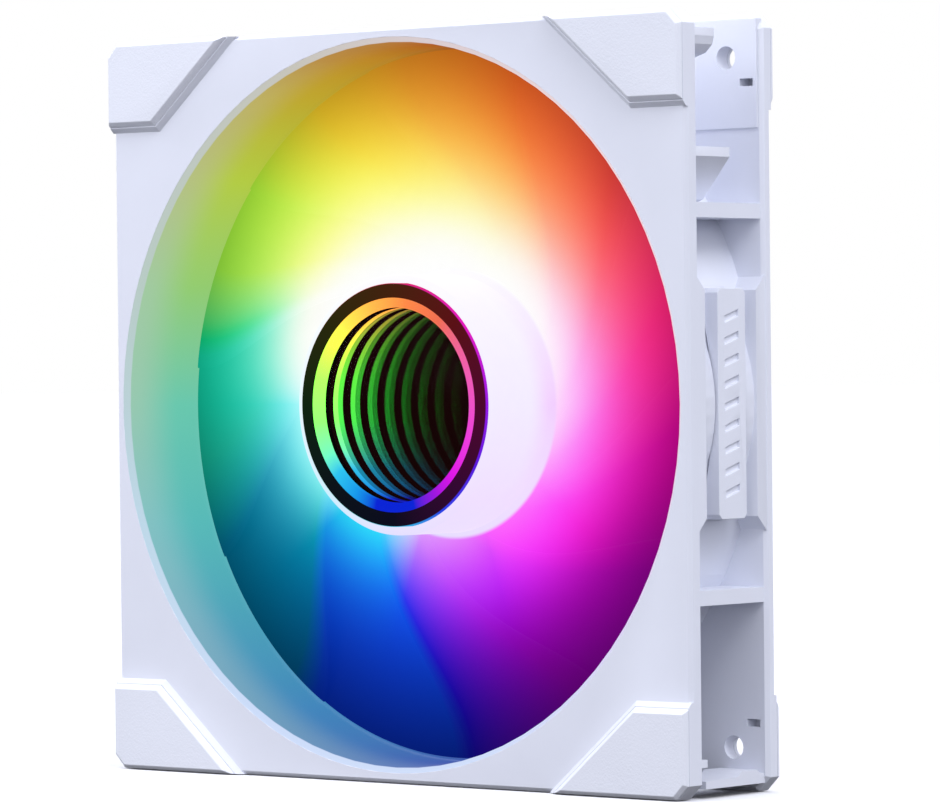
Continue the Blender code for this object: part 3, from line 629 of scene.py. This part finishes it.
def make_mirror_hub():
    """The infinity mirror, turned finely so that its nested rings stay round."""
    trim = [(RIM_R, MIRROR_BACK), (RIM_R, FACE + 0.2), (RIM_R - 0.2, FACE), (WINDOW_R, FACE),
            (WINDOW_R, LIP_BACK), (SLEEVE_R, LIP_BACK), (SLEEVE_R, MIRROR_BACK)]
    glow = [(MIRROR_R, GLOW_BACK), (MIRROR_R, GLOW_FRONT), (TUNNEL_R, GLOW_FRONT),
            (TUNNEL_R, GLOW_BACK)]
    front, rear = GLOW_BACK + STACK_GAP, MIRROR_FRONT - STACK_GAP
    spacer = [(MIRROR_R, rear), (MIRROR_R, front), (TUNNEL_R, front), (TUNNEL_R, rear)]
    pane, back = ([(0.0, rear), (MIRROR_R, rear), (MIRROR_R, front), (0.0, front)]
                  for front, rear in ((PANE_FRONT, PANE_BACK), (MIRROR_FRONT, MIRROR_BACK)))
    turned = (("trim_ring_fine", rounded(trim, 0.06), [trim_black()], "trim", "hub_trim_ring"),
              ("glow_ring_fine", rounded(glow, 0.05), [ring_light()], "light", "light_ring"),
              ("spacer_fine", spacer, [spacer_black()], "trim", "mirror_spacer"),
              ("mirror_fine", back, [silvered()], "mirror", "rear_mirror"))
    for name, profile, materials, slot, node in turned:
        bm = bmesh.new()
        spin(bm, profile)
        add_piece(name, bm, materials, "rotor", slot, node)
    bm = bmesh.new()
    spin(bm, pane, material_of=lambda index: 1 if index == 0 else 0)
    add_piece("pane_fine", bm, [clear_coat(), one_way_coat()], "rotor", "pane", "half_mirror_pane")


def refined(node, name, material, body, slot, width):
    """A copy of a CAD node with its facets merged and its sharp edges softened."""
    bm = bmesh.new()
    bm.from_mesh(nodes[node].data)
    if node.startswith("front_pad"):
        seat = max(vert.co.y for vert in bm.verts)
        for vert in bm.verts:
            if vert.co.y > seat - 0.02 * MM:
                vert.co.y += PARTING * MM
    bmesh.ops.remove_doubles(bm, verts=bm.verts, dist=0.00001)
    bmesh.ops.dissolve_limit(bm, angle_limit=math.radians(0.6), verts=bm.verts, edges=bm.edges)
    piece = add_piece(name, bm, [material], body, slot, node, smooth=SOFT_ANGLE)
    bevel = piece.modifiers.new("soft_edges", "BEVEL")
    bevel.width = width * MM
    bevel.segments = 2
    bevel.limit_method = "ANGLE"
    bevel.angle_limit = math.radians(SOFT_ANGLE)
    bevel.harden_normals = True
    bevel.use_clamp_overlap = True


def make_housing():
    """Frame, corner pads and side badges with the soft edges that moulding leaves."""
    refined("frame", "frame_soft", frame_plastic(), "housing", "frame", MOULDED_EDGE)
    rubber = plastic("corner_rubber", RUBBER_WHITE, 0.42, 0.05, (0.7, 0.85)).material
    badge = plastic("badge_plastic", FRAME_WHITE, FRAME_GRAIN, FRAME_RELIEF).material
    for node in sorted(nodes):
        if "_pad_" in node:
            refined(node, node + "_soft", rubber, "housing", "pad", RUBBER_EDGE)
        elif node.startswith("side_badge"):
            refined(node, node + "_soft", badge, "housing", "badge", MOULDED_EDGE)


def dress_cad_nodes():
    """Procedural finishes for the nodes that are carried over from the CAD model."""
    finishes = {
        "steel": metal("plated_steel", (0.62, 0.62, 0.64), 0.3, 0.25),
        "brass": metal("turned_brass", (0.78, 0.57, 0.26), 0.28, 0.2),
        "bronze": metal("sintered_bronze", (0.55, 0.38, 0.22), 0.5, 0.3),
        "magnet": plastic("ferrite", (0.05, 0.045, 0.045), 0.12, 0.02, (0.6, 0.8)).material,
        "nylon": plastic("nylon", (0.72, 0.71, 0.66), 0.3, 0.01, (0.35, 0.5)).material,
        "copper": windings(),
        "board": circuit_board(),
        "chip": plastic("epoxy", (0.02, 0.02, 0.022), 0.1, 0.008, (0.4, 0.55)).material,
        "lamp": lamp_resin(),
        "label": plastic("label_paper", (0.70, 0.71, 0.74), 0.4, 0.006, (0.4, 0.5)).material,
    }
    slots = {part["node"]: part["material_slot"] for part in frame["record"]["subparts"]}
    for name, node in nodes.items():
        if not node.hide_render:
            node.data.materials.clear()
            node.data.materials.append(finishes[slots[name]])


# ------------------------------------------------------------------------------------- stage

def make_camera():
    camera = bpy.data.objects.new("camera", bpy.data.cameras.new("camera"))
    bpy.context.scene.collection.objects.link(camera)
    axes = (Vector(CAMERA_RIGHT), Vector(CAMERA_UP), -Vector(CAMERA_FORWARD))
    turned = Matrix(axes).transposed().to_4x4()
    camera.matrix_world = Matrix.Translation(point(*CAMERA_PLACE)) @ turned
    camera.data.sensor_width = SENSOR
    camera.data.lens = LENS
    camera.data.clip_start, camera.data.clip_end = 0.01, 50.0
    bpy.context.scene.camera = camera


def make_lights():
    """A box near the upper left, a broad one on the right and a fill overhead."""
    for name, watts, size, place in SOFT_BOXES:
        light = bpy.data.lights.new(name, "AREA")
        light.energy = watts
        light.shape = "DISK"
        light.size = size
        light.color = COOL
        item = bpy.data.objects.new(name, light)
        item.location = place
        item.rotation_euler = (-Vector(place)).to_track_quat("-Z", "Y").to_euler()
        bpy.context.scene.collection.objects.link(item)


def seen_or_cast(tree, cast):
    """White to the eye, and the colour that the surroundings cast on the object."""
    path = tree.nodes.new("ShaderNodeLightPath")
    tone = tree.nodes.new("ShaderNodeMix")
    tone.data_type = "RGBA"
    tone.inputs[6].default_value = (*cast, 1.0)
    tone.inputs[7].default_value = (1.0, 1.0, 1.0, 1.0)
    tree.links.new(path.outputs["Is Camera Ray"], tone.inputs[0])
    return tone.outputs[2], path.outputs["Is Camera Ray"]


def make_floor():
    bm = bmesh.new()
    low = min(node.bound_box[0][2] for node in nodes.values()) - 0.0002
    bmesh.ops.create_circle(bm, cap_ends=True, segments=96, radius=12.0)
    mesh = bpy.data.meshes.new("floor")
    bm.to_mesh(mesh)
    bm.free()
    floor = bpy.data.objects.new("floor", mesh)
    floor.location.z = low
    bpy.context.scene.collection.objects.link(floor)
    pale = bpy.data.materials.new("pale_floor")
    pale.use_nodes = True
    surface = pale.node_tree.nodes["Principled BSDF"]
    tone, _ = seen_or_cast(pale.node_tree, FLOOR_BOUNCE)
    pale.node_tree.links.new(tone, surface.inputs["Base Color"])
    surface.inputs["Roughness"].default_value = 0.9
    surface.inputs["Specular IOR Level"].default_value = 0.0
    mesh.materials.append(pale)


def make_studio():
    """White all round to the eye, with a soft sky that weakens towards the zenith."""
    scene = bpy.context.scene
    scene.world = bpy.data.worlds.new("studio")
    scene.world.use_nodes = True
    tree = scene.world.node_tree
    background = tree.nodes["Background"]
    sky, seen = seen_or_cast(tree, AMBIENT)
    direction = tree.nodes.new("ShaderNodeTexCoord")
    split = tree.nodes.new("ShaderNodeSeparateXYZ")
    fade = tree.nodes.new("ShaderNodeMapRange")
    fade.inputs["To Min"].default_value = 1.0
    fade.inputs["To Max"].default_value = ZENITH_SHARE
    strength = tree.nodes.new("ShaderNodeMath")
    strength.operation = "MAXIMUM"
    for source, target in ((direction.outputs["Generated"], split.inputs[0]),
                           (split.outputs[2], fade.inputs["Value"]),
                           (fade.outputs[0], strength.inputs[0]), (seen, strength.inputs[1]),
                           (strength.outputs[0], background.inputs["Strength"]),
                           (sky, background.inputs["Color"])):
        tree.links.new(source, target)
    scene.view_settings.view_transform = "Standard"
    scene.cycles.max_bounces = 32
    scene.cycles.glossy_bounces = 32
    scene.cycles.transparent_max_bounces = 32


make_camera()
make_impeller()
make_mirror_hub()
make_housing()
dress_cad_nodes()
make_lights()
make_floor()
make_studio()
